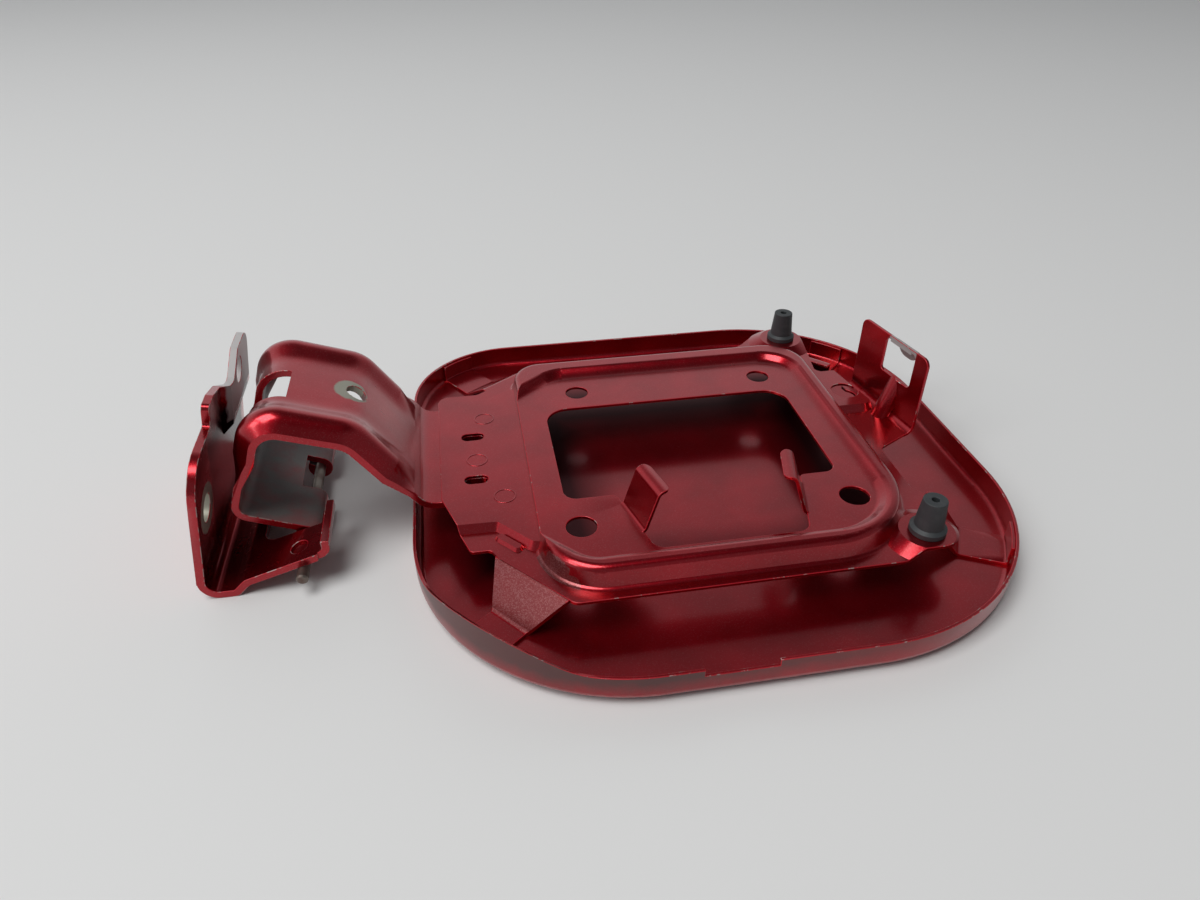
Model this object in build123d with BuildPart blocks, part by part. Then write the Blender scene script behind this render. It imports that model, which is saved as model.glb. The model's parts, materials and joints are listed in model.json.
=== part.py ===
from build123d import *
import os
from math import cos, radians, sin, sqrt, tan

# Door skin: X runs from the hinge to the latch, Y along the hinge pin, Z into the car
door_length = 162.0
door_width = 155.0
skin = 0.8
rim_height = 8.5
crown = 1.0
skin_bend = 2.2
corner_hinge_front = 54.0
corner_latch_front = 57.0
corner_latch_rear = 52.0
corner_hinge_rear = 32.0
rim_notch_x = -10.0
rim_notch_length = 17.0
rim_notch_depth = 1.8
rim_rise = 5.2
rim_rise_start = 84.5
rim_rise_slope = 43.0
rim_rise_turn = 224.0
rim_rise_bend = 6.0

# Inner panel: levels of its upper face
sheet = 0.9
flange_level = 11.2
plate_level = 13.3
flat_level = 14.2
crest_level = 16.8

# Inner panel: margins of its edges inside the door skin
hinge_margin = 8.0
latch_margin = 27.5
side_margin = 22.0

# Inner panel: raised bead, its inner pocket and the lower pads
bead_front_margin = 2.8
bead_rear_margin = 4.5
bead_latch_margin = 4.5
bead_hinge_margin = 23.0
bead_front_width = 8.5
bead_rear_width = 10.5
bead_latch_width = 8.5
bead_stop_corner = 27.0
bead_latch_corner = 14.0
bead_hinge_corner = 10.0
bead_leg_corner = 16.0
bead_wall_angle = 20.0
bead_foot_angle = 50.0
bead_foot_rise = 0.8
bead_round = 2.0
pocket_stop_corner = 16.0
pocket_corner = 8.0
pocket_wall_angle = 50.0
pad_wall_angle = 35.0
stop_pad_angle = 62.0
rib_length = 7.5
rib_width = 1.8
rib_rise = 0.9
rib_hinge_margin = 16.3
rib_front_margin = 23.4
rib_turn = -48.0

# Inner panel: window, holes and slots, as margins inside the panel's edges
window_hinge_margin = 32.0
window_latch_margin = 19.0
window_front_margin = 34.7
window_rear_margin = 31.9
window_corner = 3.5
cap_window_shoulder = 12.2
cap_window_shift = 1.4
cap_window_margin = 12.1
cap_window_draft = 14.5
frame_hole = 7.0
frame_hole_hinge_margin = 43.2
frame_hole_latch_margin = 23.7
frame_hole_rear_margin = 23.1
corner_hole = 8.0
corner_hole_hinge_margin = 34.6
corner_hole_latch_margin = 18.9
corner_hole_front_margin = 23.3
slot_length = 6.5
slot_width = 3.6
slot_pitch = 21.0
slot_shift = -5.2
slot_setback = 9.6

# Cap-holder hooks, lanced from the sides of the window
hook_width = 12.5
hook_height = 11.5
hook_lean = 19.0
hook_lip = 3.2
hook_setback = 10.0
hook_bend = 1.4
hook_root = 4.0
hook_round = 2.0

# Striker plate at the latch end
striker_setback = 17.0
striker_y = 12.1
striker_turn = 10.7
striker_width = 30.8
striker_height = 35.4
striker_corner = 2.5
striker_bend = 2.4
striker_root = 4.5
striker_window_width = 13.5
striker_window_height = 10.7
striker_window_shift = 3.2
striker_window_corner = 1.5
striker_top_bar = 1.2
striker_hole = 8.5
striker_hole_setback = 9.2
striker_hole_shift = 8.4
striker_pad = 8.5
tongue_width = 9.5
tongue_drop = 4.4
tongue_reach = 2.8
tongue_corner = 4.0
gusset_width = 5.4
gusset_height = 8.0
gusset_run = 3.0

# Legs down to the skin: direction, start inside the rim, run of the slope, width at the top
leg_hinge_front = (220.0, 20.3, 8.1, 24.0)
leg_latch_front = (-29.3, 21.1, 7.5, 15.0)
leg_latch_rear = (43.0, 19.0, 8.4, 18.0)
leg_hinge_rear = (125.0, 27.0, 13.0, 17.0)
leg_foot_width = 11.5
leg_tab_height = 8.0
leg_bend = 2.0
leg_root = 2.5

# Rubber stops
stop_latch_margin = 6.3
stop_front_margin = 7.8
stop_rear_reach = 3.0
stop_pad = 7.0
stop_base = 9.2
stop_top = 6.0
stop_height = 9.8
stop_flange = 1.4
stop_fillet = 0.7
stop_shoulder = 7.4
stop_bore = 2.0
stop_bore_depth = 5.0
stop_stem = 5.4
stop_barb = 7.4
stop_fit = 0.1

# Hinge pin
pin_diameter = 3.0
pin_offset = 27.2
pin_height = 5.6
pin_front = -30.5
pin_rear = 40.5
pin_play = 0.05
pin_chamfer = 0.4

# Hinge arm: a pressed hook, flat at its foot and at the knuckle
arm_sheet = 1.9
arm_y = 9.0
arm_width = 46.0
arm_foot_length = 17.0
arm_foot_width = 47.0
arm_foot_bend = 5.0
arm_start_x = 3.6
arm_slope = 55.6
arm_top_slope = 18.7
arm_side_slope = 71.4
arm_shoulder_height = 35.0
arm_top_length = 25.6
arm_shoulder_bend = 10.0
arm_top_bend = 8.5
arm_heel_bend = 4.5
arm_rib_rise = 1.6
arm_edge_drop = 2.2
arm_fade_start = 5.0
arm_fade_length = 8.0
arm_heel_flat = 4.5
arm_hole = 5.8
arm_window_width = 13.0
arm_window_shift = -2.5
arm_window_x = 0.4
arm_window_z = 32.0
return_slope = 22.4
roll_sweep = 280.0
knuckle_gap_front = 3.1
knuckle_gap_rear = 17.4
knuckle_gap_depth = 4.8

# Hinge base: the bracket bolted to the body, with the pin welded under its two legs
base_sheet = 2.0
base_front = -27.3
base_rear = 39.5
base_plate_rear = 33.0
base_reach = 26.5
base_lean = 10.0
base_bend = 5.0
base_plate_overlap = 12.0
base_flat = 9.9
base_rise = 3.1
web_slope = 17.0
web_bend = 2.0
web_window_reach = 11.3
web_window_corner = 4.0
web_side_gap = 0.6
stop_tab_reach = 7.4
stop_tab_height = 13.8
stop_tab_bend = 3.5
stop_tab_front = -26.5
stop_tab_rear = -9.5
leg_end_reach = 4.2
bolt_hole = 7.2
bolt_front_y = -18.0
bolt_front_z = 22.0
bolt_rear_y = 20.0
bolt_rear_z = 39.5
joggle_depth = 2.2
joggle_angle = 45.0
joggle_y = 9.0
joggle_z = 31.0
plug_weld = 4.6
plug_weld_depth = 0.7
plug_weld_y = -21.5

os.makedirs("parts", exist_ok=True)


# Door skin

crown_radius = ((door_length / 2) ** 2 + crown**2) / (2 * crown)


def door_outline(inset):
    half_x = door_length / 2 - inset
    half_y = door_width / 2 - inset
    corners = [(-half_x, -half_y), (half_x, -half_y), (half_x, half_y), (-half_x, half_y)]
    radii = [corner_hinge_front, corner_latch_front, corner_latch_rear, corner_hinge_rear]
    with BuildSketch() as outline:
        with BuildLine():
            FilletPolyline(*corners, radius=[radius - inset for radius in radii], close=True)
        make_face()
    return outline.sketch


def dish(inset, top):
    with BuildPart() as body:
        with BuildSketch(Plane.XY.offset(-skin_bend)):
            add(door_outline(inset))
        extrude(amount=top + skin_bend)
        with Locations((0, 0, crown_radius)):
            Sphere(crown_radius - inset, rotation=(0, -90, 0), mode=Mode.INTERSECT)
        fillet(body.faces().sort_by(Axis.Z)[0].edges(), radius=skin_bend - inset)
    return body.part


# All above the rim's edge, which climbs at the hinge-front corner
def rim_trim(level):
    high = level + rim_rise
    far = rim_rise_start + rim_rise / tan(radians(rim_rise_slope))
    with BuildPart() as trim:
        with BuildSketch(Plane.XZ):
            with BuildLine():
                FilletPolyline(
                    (-door_length, level),
                    (rim_rise_start, level),
                    (far, high),
                    (door_length, high),
                    (door_length, 2 * high),
                    (-door_length, 2 * high),
                    radius=[0.0, rim_rise_bend, 0.0, 0.0, 0.0, 0.0],
                    close=True,
                )
            make_face()
        extrude(amount=door_width, both=True)
    return trim.part.moved(Location((0, 0, 0), (0, 0, rim_rise_turn)))


with BuildPart() as outer_panel:
    add(dish(0, rim_height + rim_rise))
    add(dish(skin, rim_height + rim_rise + skin), mode=Mode.SUBTRACT)
    add(rim_trim(rim_height), mode=Mode.SUBTRACT)
    with Locations((rim_notch_x, -door_width / 2, rim_height)):
        Box(rim_notch_length, 4 * skin, 2 * rim_notch_depth, mode=Mode.SUBTRACT)


# Inner panel

panel_hinge = -door_length / 2 + hinge_margin
panel_latch = door_length / 2 - latch_margin
panel_rear = door_width / 2 - side_margin
panel_front = -panel_rear

stop_x = panel_latch - stop_latch_margin
stop_front_y = panel_front + stop_front_margin
stop_rear_y = panel_rear + stop_rear_reach
slot_y = arm_y + slot_shift
striker_x = door_length / 2 - striker_setback
striker_hole_x = striker_x - striker_hole_setback
striker_hole_y = striker_y + striker_hole_shift
striker_along = Vector(sin(radians(striker_turn)), -cos(radians(striker_turn)), 0)
striker_out = Vector(cos(radians(striker_turn)), sin(radians(striker_turn)), 0)
striker_face = Vector(striker_x, striker_y, 0)
striker_edge = striker_face - striker_out * (striker_bend + sheet)
striker_front = striker_edge + striker_along * (striker_width / 2)
striker_rear = striker_edge - striker_along * (striker_width / 2)

# Corners of the flange outline: X, Y and rounding
panel_outline = [
    (panel_hinge, panel_front + 41.5, 5.0),
    (panel_hinge + 6.5, panel_front + 21.7, 1.5),
    (panel_hinge + 11.5, panel_front + 21.7, 1.5),
    (panel_hinge + 13.4, panel_front + 18.2, 1.5),
    (panel_hinge + 29.5, panel_front, 3.0),
    (panel_latch - 15.5, panel_front, 3.0),
    (panel_latch - 9.5, panel_front + 1.5, 3.0),
    (panel_latch + 2.0, panel_front + 1.5, 7.0),
    (panel_latch + 2.0, panel_front + 24.5, 1.5),
    (panel_latch, panel_front + 27.5, 1.5),
    (panel_latch, striker_front.Y - 5.4, 3.0),
    (striker_front.X, striker_front.Y, 0.0),
    (striker_rear.X, striker_rear.Y, 0.0),
    (panel_latch + 2.9, striker_rear.Y + 8.5, 3.0),
    (panel_latch - 1.3, striker_rear.Y + 11.5, 2.0),
    (panel_latch + 0.8, panel_rear - 5.5, 3.0),
    (panel_latch + 0.8, panel_rear + 10.5, 7.0),
    (panel_latch - 13.5, panel_rear + 10.5, 5.0),
    (panel_latch - 20.5, panel_rear + 4.0, 4.0),
    (panel_latch - 27.5, panel_rear, 4.0),
    (panel_hinge + 30.5, panel_rear, 4.0),
    (panel_hinge + 18.0, panel_rear - 10.0, 2.0),
    (panel_hinge + 12.0, panel_rear - 14.0, 2.0),
    (panel_hinge, panel_rear - 14.0, 3.0),
]

bead_front = panel_front + bead_front_margin
bead_rear = panel_rear - bead_rear_margin
bead_latch = panel_latch - bead_latch_margin
bead_hinge = panel_hinge + bead_hinge_margin
bead_outline = [
    (bead_hinge, bead_front, bead_leg_corner),
    (bead_latch, bead_front, bead_stop_corner),
    (bead_latch, bead_rear, bead_latch_corner),
    (bead_hinge, bead_rear, bead_hinge_corner),
]

pocket_front = bead_front + bead_front_width
pocket_rear = bead_rear - bead_rear_width
pocket_latch = bead_latch - bead_latch_width
pocket_outline = [
    (bead_hinge + 12.0, pocket_front, pocket_corner),
    (pocket_latch, pocket_front, pocket_stop_corner),
    (pocket_latch, pocket_rear, pocket_corner),
    (bead_hinge + 14.0, pocket_rear, pocket_corner),
    (bead_hinge - 6.0, pocket_rear - 16.5, 0.0),
    (bead_hinge - 6.0, pocket_front + 19.0, 0.0),
]

# Hinge-end plate, welded over the arm, and the pad around the striker's hole
plate_outline = [
    (panel_hinge - 3.0, panel_rear - 20.3, 0.0),
    (panel_hinge - 3.0, panel_front + 30.5, 0.0),
    (panel_hinge + 14.0, panel_front + 30.0, 2.0),
    (panel_hinge + 22.0, panel_front + 21.0, 2.0),
    (bead_hinge + 6.0, panel_front + 19.5, 0.0),
    (bead_hinge + 6.0, panel_rear - 15.5, 0.0),
    (panel_hinge + 21.5, panel_rear - 16.5, 2.0),
    (panel_hinge + 14.5, panel_rear - 21.3, 2.0),
]
striker_pad_outline = [
    (bead_latch - 3.5, striker_hole_y + 1.5 * striker_pad, 0.0),
    (bead_latch - 3.5, striker_hole_y - striker_pad, 0.0),
    (striker_hole_x + 6.0, striker_hole_y - striker_pad, 3.0),
    (striker_hole_x + 4.0, striker_hole_y + 1.5 * striker_pad, 3.0),
]


def rounded_outline(rows, grow=0.0):
    with BuildSketch() as outline:
        with BuildLine():
            FilletPolyline(*[row[:2] for row in rows], radius=[row[2] for row in rows], close=True)
        make_face()
        if grow:
            offset(amount=grow)
    return outline.sketch


def wall_shift(drop, angle):
    return drop * (1 - sin(radians(angle))) / cos(radians(angle))


def panel_die(drop):
    bead_shift = wall_shift(drop, bead_wall_angle)
    pocket_shift = wall_shift(drop, pocket_wall_angle)
    pad_shift = wall_shift(drop, pad_wall_angle)
    stop_shift = wall_shift(drop, stop_pad_angle)
    foot_shift = bead_foot_rise * tan(radians(bead_wall_angle)) + wall_shift(drop, bead_foot_angle)
    with BuildPart() as die:
        with BuildSketch(Plane.XY.offset(-drop)):
            add(rounded_outline(panel_outline))
        extrude(amount=flange_level)
        with BuildSketch(Plane.XY.offset(plate_level - drop)):
            add(rounded_outline(plate_outline, -pad_shift))
            add(rounded_outline(striker_pad_outline, -pad_shift))
        extrude(amount=plate_level - flange_level, dir=(0, 0, -1), taper=-pad_wall_angle)
        with BuildSketch(Plane.XY.offset(plate_level - drop)):
            with Locations((stop_x, stop_front_y), (stop_x, stop_rear_y)):
                Circle(stop_pad - stop_shift)
        extrude(amount=plate_level - flange_level, dir=(0, 0, -1), taper=-stop_pad_angle)
        with BuildSketch(Plane.XY.offset(flange_level + rib_rise - drop)):
            with Locations((panel_hinge + rib_hinge_margin, panel_front + rib_front_margin)):
                SlotOverall(rib_length - 2 * pad_shift, rib_width - 2 * pad_shift, rotation=rib_turn)
        extrude(amount=rib_rise, dir=(0, 0, -1), taper=-pad_wall_angle)
        with BuildSketch(Plane.XY.offset(flange_level - drop)):
            add(rounded_outline(bead_outline, -bead_shift))
        extrude(amount=crest_level - flange_level, taper=bead_wall_angle)
        with BuildSketch(Plane.XY.offset(flange_level + bead_foot_rise - drop)):
            add(rounded_outline(bead_outline, -foot_shift))
        extrude(amount=bead_foot_rise, dir=(0, 0, -1), taper=-bead_foot_angle)
        with BuildSketch(Plane.XY.offset(flat_level - drop)):
            add(rounded_outline(pocket_outline, pocket_shift))
        extrude(amount=crest_level - flat_level, taper=-pocket_wall_angle, mode=Mode.SUBTRACT)
        crest = die.faces().filter_by_position(Axis.Z, crest_level - drop - skin, crest_level - drop + skin)
        fillet(crest.sort_by(SortBy.AREA)[-1].edges(), radius=bead_round - drop)
        with BuildSketch(Plane.XY.offset(-drop)):
            add(rounded_outline(panel_outline))
        extrude(amount=crest_level, mode=Mode.INTERSECT)
    return die.part


def folded(points, radii, thickness, side):
    with BuildSketch() as section:
        with BuildLine():
            FilletPolyline(*points, radius=radii)
            offset(amount=thickness, side=side)
        make_face()
    return section.sketch


def cap_hook(base_x, turn):
    lean = hook_height * tan(radians(hook_lean))
    path = [
        (-hook_root, flat_level),
        (0, flat_level),
        (lean, flat_level + hook_height),
        (lean + hook_lip, flat_level + hook_height - sheet),
    ]
    with BuildPart() as tab:
        with BuildSketch(Plane.XZ):
            add(folded(path, [hook_bend, hook_bend + sheet], sheet, Side.RIGHT))
        extrude(amount=hook_width / 2, both=True)
        tip = tab.edges().filter_by(Axis.Y, reverse=True).group_by(Axis.X)[-1]
        fillet(tip, radius=hook_round)
    return tab.part.moved(Location((base_x, hook_y, 0), (0, 0, turn)))


def striker():
    window_top = striker_height - striker_top_bar
    window_middle = window_top - striker_window_height / 2
    plate_path = [(-striker_root, flange_level - sheet), (0, flange_level - sheet), (0, striker_height)]
    tongue_path = [
        (-sheet, window_top + sheet / 2),
        (tongue_reach, window_top),
        (tongue_reach + sheet / 2, window_top - tongue_drop),
    ]
    with BuildPart() as gusset:
        with BuildSketch(Plane((0, 0, flange_level + gusset_height), z_dir=(gusset_run, 0, gusset_height))):
            Circle(gusset_width / 2)
        extrude(amount=2 * gusset_height, both=True)
        with Locations((-sheet, 0, flange_level)):
            Box(
                gusset_height,
                gusset_width,
                2 * gusset_height,
                align=(Align.MAX, Align.CENTER, Align.MIN),
                mode=Mode.INTERSECT,
            )
    with BuildPart() as tongue:
        with BuildSketch(Plane.XZ):
            add(folded(tongue_path, [striker_bend], sheet, Side.RIGHT))
        extrude(amount=tongue_width / 2, both=True)
        with BuildSketch(Plane.YZ):
            with Locations((0, window_top)):
                RectangleRounded(tongue_width, 2 * tongue_drop, tongue_corner)
        extrude(amount=2 * tongue_reach, both=True, mode=Mode.INTERSECT)
    with BuildPart() as plate:
        with BuildSketch(Plane.XZ):
            add(folded(plate_path, [striker_bend + sheet], sheet, Side.LEFT))
        extrude(amount=striker_width / 2, both=True)
        fillet(plate.edges().filter_by(Axis.X).group_by(Axis.Z)[-1], radius=striker_corner)
        with BuildSketch(Plane.YZ):
            with Locations((-striker_window_shift, window_middle)):
                RectangleRounded(striker_window_width, striker_window_height, striker_window_corner)
        extrude(amount=2 * sheet, both=True, mode=Mode.SUBTRACT)
        with Locations((0, -striker_window_shift, 0)):
            add(tongue.part)
            add(gusset.part)
    return plate.part.moved(Location((striker_x, striker_y, 0), (0, 0, striker_turn)))


# Legs of the inner panel: X side, Y side, rounding of the skin's corner and the leg's own sizes
leg_rows = [
    (-1, -1, corner_hinge_front, *leg_hinge_front),
    (1, -1, corner_latch_front, *leg_latch_front),
    (1, 1, corner_latch_rear, *leg_latch_rear),
    (-1, 1, corner_hinge_rear, *leg_hinge_rear),
]


def leg_place(side_x, side_y, corner, direction):
    center_x = side_x * (door_length / 2 - corner)
    center_y = side_y * (door_width / 2 - corner)
    return Location((center_x, center_y, 0), (0, 0, direction))


def leg_slope(side_x, side_y, corner, direction, setback, run, top_width):
    start = corner - setback
    toe = start + run
    place = leg_place(side_x, side_y, corner, direction)
    touch = (place * Location((toe, 0, 0))).position
    floor = crown_radius - sqrt((crown_radius - skin) ** 2 - touch.X**2 - touch.Y**2) + sheet
    path = [(start - leg_root, flange_level), (start, flange_level), (toe, floor), (toe + leg_root, floor)]
    with BuildPart() as slope:
        with BuildSketch(Plane.XZ):
            add(folded(path, [leg_bend, leg_bend], sheet, Side.RIGHT))
        extrude(amount=top_width / 2, both=True)
        with BuildSketch():
            with BuildLine():
                Polyline(
                    (start - leg_root, top_width / 2),
                    (start, top_width / 2),
                    (toe, leg_foot_width / 2),
                    (corner, leg_foot_width / 2),
                    (corner, -leg_foot_width / 2),
                    (toe, -leg_foot_width / 2),
                    (start, -top_width / 2),
                    (start - leg_root, -top_width / 2),
                    close=True,
                )
            make_face()
        extrude(amount=flange_level, mode=Mode.INTERSECT)
    return slope.part.moved(place)


def leg_foot(side_x, side_y, corner, direction, setback, run, top_width):
    with BuildSketch() as foot:
        with Locations((corner - setback + run, 0)):
            Rectangle(setback, leg_foot_width, align=(Align.MIN, Align.CENTER))
    return foot.sketch.moved(leg_place(side_x, side_y, corner, direction))


leg_slopes = [leg_slope(*row) for row in leg_rows]
leg_feet = [leg_foot(*row) for row in leg_rows]

with BuildPart() as legs:
    add(dish(skin, leg_tab_height + rim_rise))
    add(dish(skin + sheet, leg_tab_height + rim_rise + sheet), mode=Mode.SUBTRACT)
    with BuildSketch():
        add(leg_feet)
    extrude(amount=leg_tab_height + rim_rise, mode=Mode.INTERSECT)
    add(rim_trim(leg_tab_height), mode=Mode.SUBTRACT)
    add(leg_slopes)
    add(dish(skin, leg_tab_height + rim_rise), mode=Mode.INTERSECT)

window_hinge = panel_hinge + window_hinge_margin
window_latch = panel_latch - window_latch_margin
window_front = panel_front + window_front_margin
window_rear = panel_rear - window_rear_margin
cap_window_front = panel_front + cap_window_margin
cap_window_x = (window_hinge + window_latch) / 2 + cap_window_shift
cap_draft = tan(radians(cap_window_draft))
cap_rear_half = (window_latch - window_hinge) / 2 - cap_window_shoulder
cap_front_half = cap_rear_half - (window_front - cap_window_front) * cap_draft
hook_y = window_front - hook_setback
hook_half = cap_rear_half - hook_setback * cap_draft
frame_hole_y = panel_rear - frame_hole_rear_margin
corner_hole_y = panel_front + corner_hole_front_margin
frame_holes = [
    (panel_hinge + frame_hole_hinge_margin, frame_hole_y),
    (panel_latch - frame_hole_latch_margin, frame_hole_y),
]
corner_holes = [
    (panel_hinge + corner_hole_hinge_margin, corner_hole_y),
    (panel_latch - corner_hole_latch_margin, corner_hole_y),
]
window_outline = [
    (window_hinge, window_front, window_corner),
    (cap_window_x - cap_rear_half, window_front, window_corner / 2),
    (cap_window_x - cap_front_half, cap_window_front, window_corner),
    (cap_window_x + cap_front_half, cap_window_front, window_corner),
    (cap_window_x + cap_rear_half, window_front, window_corner / 2),
    (window_latch, window_front, window_corner),
    (window_latch, window_rear, 2 * window_corner),
    (window_hinge, window_rear, 2 * window_corner),
]

with BuildPart() as inner_panel:
    add(panel_die(0))
    add(panel_die(sheet), mode=Mode.SUBTRACT)
    add(legs.part)
    add(striker())
    with BuildSketch(Plane.XY.offset(crest_level)):
        add(rounded_outline(window_outline))
        with Locations(*frame_holes):
            Circle(frame_hole / 2)
        with Locations(*corner_holes):
            Circle(corner_hole / 2)
        with Locations((panel_hinge + slot_setback, slot_y)):
            with GridLocations(0, slot_pitch, 1, 2):
                SlotOverall(slot_length, slot_width)
        with Locations((striker_hole_x, striker_hole_y)):
            Circle(striker_hole / 2)
        with Locations((stop_x, stop_front_y), (stop_x, stop_rear_y)):
            Circle(stop_stem / 2 + stop_fit)
    extrude(amount=sheet + crest_level - flange_level, dir=(0, 0, -1), mode=Mode.SUBTRACT)
    add(cap_hook(cap_window_x - hook_half, cap_window_draft))
    add(cap_hook(cap_window_x + hook_half, 180 - cap_window_draft))


# Rubber stops


def rubber_stop(seat_y):
    neck = sheet
    tail = neck + (stop_barb - stop_stem) * 2
    with BuildPart() as stop:
        with BuildSketch(Plane.XZ):
            with BuildLine():
                Polyline(
                    (0, -tail),
                    (stop_stem / 3, -tail),
                    (stop_barb / 2, -neck),
                    (stop_stem / 2, -neck),
                    (stop_stem / 2, 0),
                    (stop_base / 2, 0),
                    (stop_base / 2, stop_flange),
                    (stop_shoulder / 2, stop_flange + stop_fillet),
                    (stop_top / 2, stop_height),
                    (stop_bore / 2, stop_height),
                    (stop_bore / 2, stop_height - stop_bore_depth),
                    (0, stop_height - stop_bore_depth),
                    close=True,
                )
            make_face()
        revolve(axis=Axis.Z)
    return stop.part.moved(Location((stop_x, seat_y, plate_level)))


bumper_front = rubber_stop(stop_front_y)

bumper_rear = rubber_stop(stop_rear_y)


# Hinge pin

pin_x = -door_length / 2 - pin_offset

with BuildPart() as hinge_pin:
    with BuildSketch(Plane.XZ.offset(-pin_front)):
        with Locations((pin_x, pin_height)):
            Circle(pin_diameter / 2)
    extrude(amount=-(pin_rear - pin_front))
    chamfer(hinge_pin.edges().filter_by(GeomType.CIRCLE), length=pin_chamfer)


# Hinge arm

arm_out = radians(arm_slope)
arm_over = radians(arm_top_slope)
arm_down = radians(arm_side_slope)
arm_back = radians(return_slope)
arm_foot_top = plate_level - sheet
arm_foot_x = -door_length / 2 + arm_start_x + tan(radians(90 - arm_slope))
foot_end = (panel_hinge + arm_foot_length, arm_foot_top)
foot_corner = (arm_foot_x, arm_foot_top)
shoulder = (arm_foot_x - (arm_shoulder_height - arm_foot_top) / tan(arm_out), arm_shoulder_height)
top_corner = (shoulder[0] - arm_top_length * cos(arm_over), shoulder[1] + arm_top_length * sin(arm_over))
roll_inner = pin_diameter / 2 + pin_play
roll_outer = roll_inner + arm_sheet
roll_touch = (pin_x + roll_inner * sin(arm_back), pin_height + roll_inner * cos(arm_back))
heel_drop = top_corner[1] - roll_touch[1] + (top_corner[0] - roll_touch[0]) * tan(arm_back)
heel_length = heel_drop / (sin(arm_down) + cos(arm_down) * tan(arm_back))
heel = (top_corner[0] - heel_length * cos(arm_down), top_corner[1] - heel_length * sin(arm_down))


def along(start, end, distance):
    length = sqrt((end[0] - start[0]) ** 2 + (end[1] - start[1]) ** 2)
    share = distance / length
    return (start[0] + (end[0] - start[0]) * share, start[1] + (end[1] - start[1]) * share)


def across(start, end, distance):
    at = along(start, end, distance)
    return Plane(
        origin=(at[0], arm_y, at[1]),
        x_dir=(0, -1, 0),
        z_dir=(end[0] - start[0], 0, end[1] - start[1]),
    )


# Height of the arm's outer face across its width, from the middle to the edge, as shares
rib_shape = [(0.0, 0.0), (0.3, 0.0), (0.52, 0.12), (0.65, 0.65), (0.77, 1.0), (0.87, 0.6)]
edge_shape = [(0.94, -0.25), (1.0, -1.0)]


def arm_section(share):
    half = arm_width / 2
    right = [(half * place, share * arm_rib_rise * rise) for place, rise in rib_shape]
    right += [(half * place, share * arm_edge_drop * rise) for place, rise in edge_shape]
    crown_line = [(-x, h) for x, h in reversed(right[1:])] + right
    under_line = [(x, h - arm_sheet) for x, h in crown_line]
    with BuildSketch() as section:
        with BuildLine():
            Spline(*crown_line)
            Line(crown_line[-1], under_line[-1])
            Spline(*reversed(under_line))
            Line(under_line[0], crown_line[0])
        make_face()
    return section.sketch


fade_up = along(foot_corner, shoulder, arm_fade_start)
rib_up = along(foot_corner, shoulder, arm_fade_start + arm_fade_length)
fade_down = along(heel, top_corner, arm_fade_start + arm_heel_flat)
rib_down = along(heel, top_corner, arm_fade_start + arm_heel_flat + arm_fade_length)

with BuildPart() as arm_hook:
    with BuildLine(Plane.XZ.offset(-arm_y)) as hook_path:
        FilletPolyline(rib_up, shoulder, top_corner, rib_down, radius=[arm_shoulder_bend, arm_top_bend])
    with BuildSketch(across(rib_up, shoulder, 0)):
        add(arm_section(1))
    sweep(path=hook_path.wires()[0])
    with BuildSketch(across(fade_up, rib_up, 0)):
        add(arm_section(0))
    with BuildSketch(across(rib_up, shoulder, 0)):
        add(arm_section(1))
    loft()
    with BuildSketch(across(rib_down, fade_down, 0)):
        add(arm_section(1))
    with BuildSketch(across(fade_down, heel, 0)):
        add(arm_section(0))
    loft()

foot_path = [foot_end, foot_corner, fade_up]
return_path = [fade_down, heel, roll_touch]
shoulder_angle = (arm_out + arm_over) / 2
hole_plane = Plane(
    origin=(shoulder[0], arm_y, shoulder[1]),
    z_dir=(sin(shoulder_angle), 0, cos(shoulder_angle)),
)
roll_start = 90 - return_slope

with BuildPart() as hinge_arm:
    add(arm_hook.part)
    with BuildSketch(Plane.XZ.offset(-arm_y)):
        add(folded(foot_path, [arm_foot_bend], arm_sheet, Side.LEFT))
        add(folded(return_path, [arm_heel_bend], arm_sheet, Side.LEFT))
        with BuildLine():
            inner_roll = CenterArc((pin_x, pin_height), roll_inner, roll_start, -roll_sweep)
            outer_roll = CenterArc((pin_x, pin_height), roll_outer, roll_start, -roll_sweep)
            Line(inner_roll @ 0, outer_roll @ 0)
            Line(inner_roll @ 1, outer_roll @ 1)
        make_face()
    extrude(amount=arm_width / 2, both=True)
    with BuildSketch(Plane.XY.offset(arm_foot_top)):
        with Locations((foot_end[0], arm_y)):
            Rectangle(
                foot_end[0] - foot_corner[0] - arm_foot_bend,
                arm_foot_width,
                align=(Align.MAX, Align.CENTER),
            )
    extrude(amount=-arm_sheet)
    with Locations((pin_x, knuckle_gap_front, pin_height)):
        Box(
            2 * knuckle_gap_depth,
            knuckle_gap_rear - knuckle_gap_front,
            2 * knuckle_gap_depth,
            align=(Align.CENTER, Align.MIN, Align.CENTER),
            mode=Mode.SUBTRACT,
        )
    with BuildSketch(hole_plane):
        Circle(arm_hole / 2)
    extrude(amount=2 * arm_sheet, both=True, mode=Mode.SUBTRACT)
    with BuildSketch(Plane.XY.offset(arm_window_z)):
        with Locations((pin_x - arm_window_x, arm_y + arm_window_shift)):
            Rectangle(4 * arm_window_width, arm_window_width, align=(Align.MAX, Align.CENTER))
    extrude(amount=arm_window_width + arm_top_bend, mode=Mode.SUBTRACT)
    with BuildSketch(Plane.XY.offset(plate_level)):
        with Locations((panel_hinge + slot_setback, slot_y)):
            with GridLocations(0, slot_pitch, 1, 2):
                SlotOverall(slot_length, slot_width)
    extrude(amount=-2 * arm_sheet, mode=Mode.SUBTRACT)


# Hinge base

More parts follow.
